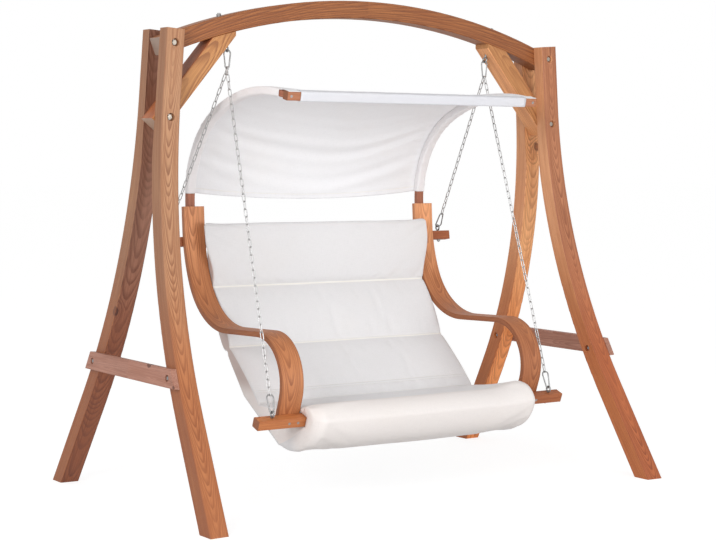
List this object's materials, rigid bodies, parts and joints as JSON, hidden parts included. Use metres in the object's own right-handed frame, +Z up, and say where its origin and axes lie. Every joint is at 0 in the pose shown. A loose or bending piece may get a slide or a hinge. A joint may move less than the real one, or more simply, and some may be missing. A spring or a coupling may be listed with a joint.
{
  "type": "canopy garden swing",
  "caption": "Garden swing: a padded sling seat with S-bent wooden arms and a fabric canopy hangs on chains from an arched beam between flared wooden legs.",
  "frame": {"origin": "on the ground, under the middle of the frame", "axes": "+Z up, +X along the arched beam, -Y the way a sitter faces"},
  "size_m": [2.2522, 1.3866, 2.05],
  "materials": {
    "larch": "oiled, visible grain",
    "pad_cover": "matt woven cover",
    "canopy_cloth": "matt woven cloth",
    "zinc_steel": "zinc plated"
  },
  "bodies": {
    "frame": {"arch_beam": "larch", "brace_left": "larch", "brace_right": "larch", "frame_bolts": "zinc_steel", "frame_nuts": "zinc_steel", "frame_washers": "zinc_steel", "hanger_eye_bolts": "zinc_steel", "hanger_nuts": "zinc_steel", "hanger_washers": "zinc_steel", "leg_front_left": "larch", "leg_front_right": "larch", "leg_rear_left": "larch", "leg_rear_right": "larch", "stretcher_bolts": "zinc_steel", "stretcher_left": "larch", "stretcher_nuts": "zinc_steel", "stretcher_right": "larch", "stretcher_washers": "zinc_steel"},
    "seat": {"arm_left": "larch", "arm_right": "larch", "bar_screws": "zinc_steel", "canopy_bar": "larch", "canopy_fabric": "canopy_cloth", "canopy_rib_left": "larch", "canopy_rib_right": "larch", "canopy_screws": "zinc_steel", "carabiner_front_left": "zinc_steel", "carabiner_front_right": "zinc_steel", "carabiner_rear_left": "zinc_steel", "carabiner_rear_right": "zinc_steel", "carabiner_upper_left": "zinc_steel", "carabiner_upper_right": "zinc_steel", "chain_front_left": "zinc_steel", "chain_front_right": "zinc_steel", "chain_rear_left": "zinc_steel", "chain_rear_right": "zinc_steel", "front_bar": "larch", "gate_pins": "zinc_steel", "rear_bar": "larch", "rear_bar_screws": "zinc_steel", "rib_screws": "zinc_steel", "seat_eye_bolts": "zinc_steel", "seat_eye_nuts": "zinc_steel", "seat_eye_washers": "zinc_steel", "seat_sling": "pad_cover"},
    "gate_front_left": {"gate_front_left": "zinc_steel"},
    "gate_front_right": {"gate_front_right": "zinc_steel"},
    "gate_rear_left": {"gate_rear_left": "zinc_steel"},
    "gate_rear_right": {"gate_rear_right": "zinc_steel"},
    "gate_upper_left": {"gate_upper_left": "zinc_steel"},
    "gate_upper_right": {"gate_upper_right": "zinc_steel"}
  },
  "joints": [
    {"name": "swing", "type": "hinge", "parent": "frame", "child": "seat", "pos_m": [0, 0, 1.82376], "axis": [1, 0, 0], "range_deg": [-25, 25]},
    {"name": "gate_upper_left_pivot", "type": "hinge", "parent": "seat", "child": "gate_upper_left", "pos_m": [-0.6715, 0, 1.76661], "axis": [0, 1, 0], "range_deg": [0, 20], "stiffness_Nm_per_rad": 0.05, "springref_deg": -11.46},
    {"name": "gate_front_left_pivot", "type": "hinge", "parent": "seat", "child": "gate_front_left", "pos_m": [-0.71044, -0.41714, 0.41272], "axis": [0, 0.9546, -0.2978], "range_deg": [0, 20], "stiffness_Nm_per_rad": 0.05, "springref_deg": -11.46},
    {"name": "gate_rear_left_pivot", "type": "hinge", "parent": "seat", "child": "gate_rear_left", "pos_m": [-0.72344, 0.38267, 1.11478], "axis": [0, -0.8566, -0.516], "range_deg": [0, 20], "stiffness_Nm_per_rad": 0.05, "springref_deg": -11.46},
    {"name": "gate_upper_right_pivot", "type": "hinge", "parent": "seat", "child": "gate_upper_right", "pos_m": [0.6715, 0, 1.76661], "axis": [0, -1, 0], "range_deg": [0, 20], "stiffness_Nm_per_rad": 0.05, "springref_deg": -11.46},
    {"name": "gate_front_right_pivot", "type": "hinge", "parent": "seat", "child": "gate_front_right", "pos_m": [0.71044, -0.41714, 0.41272], "axis": [0, -0.9546, 0.2978], "range_deg": [0, 20], "stiffness_Nm_per_rad": 0.05, "springref_deg": -11.46},
    {"name": "gate_rear_right_pivot", "type": "hinge", "parent": "seat", "child": "gate_rear_right", "pos_m": [0.72344, 0.38267, 1.11478], "axis": [0, 0.8566, 0.516], "range_deg": [0, 20], "stiffness_Nm_per_rad": 0.05, "springref_deg": -11.46}
  ]
}
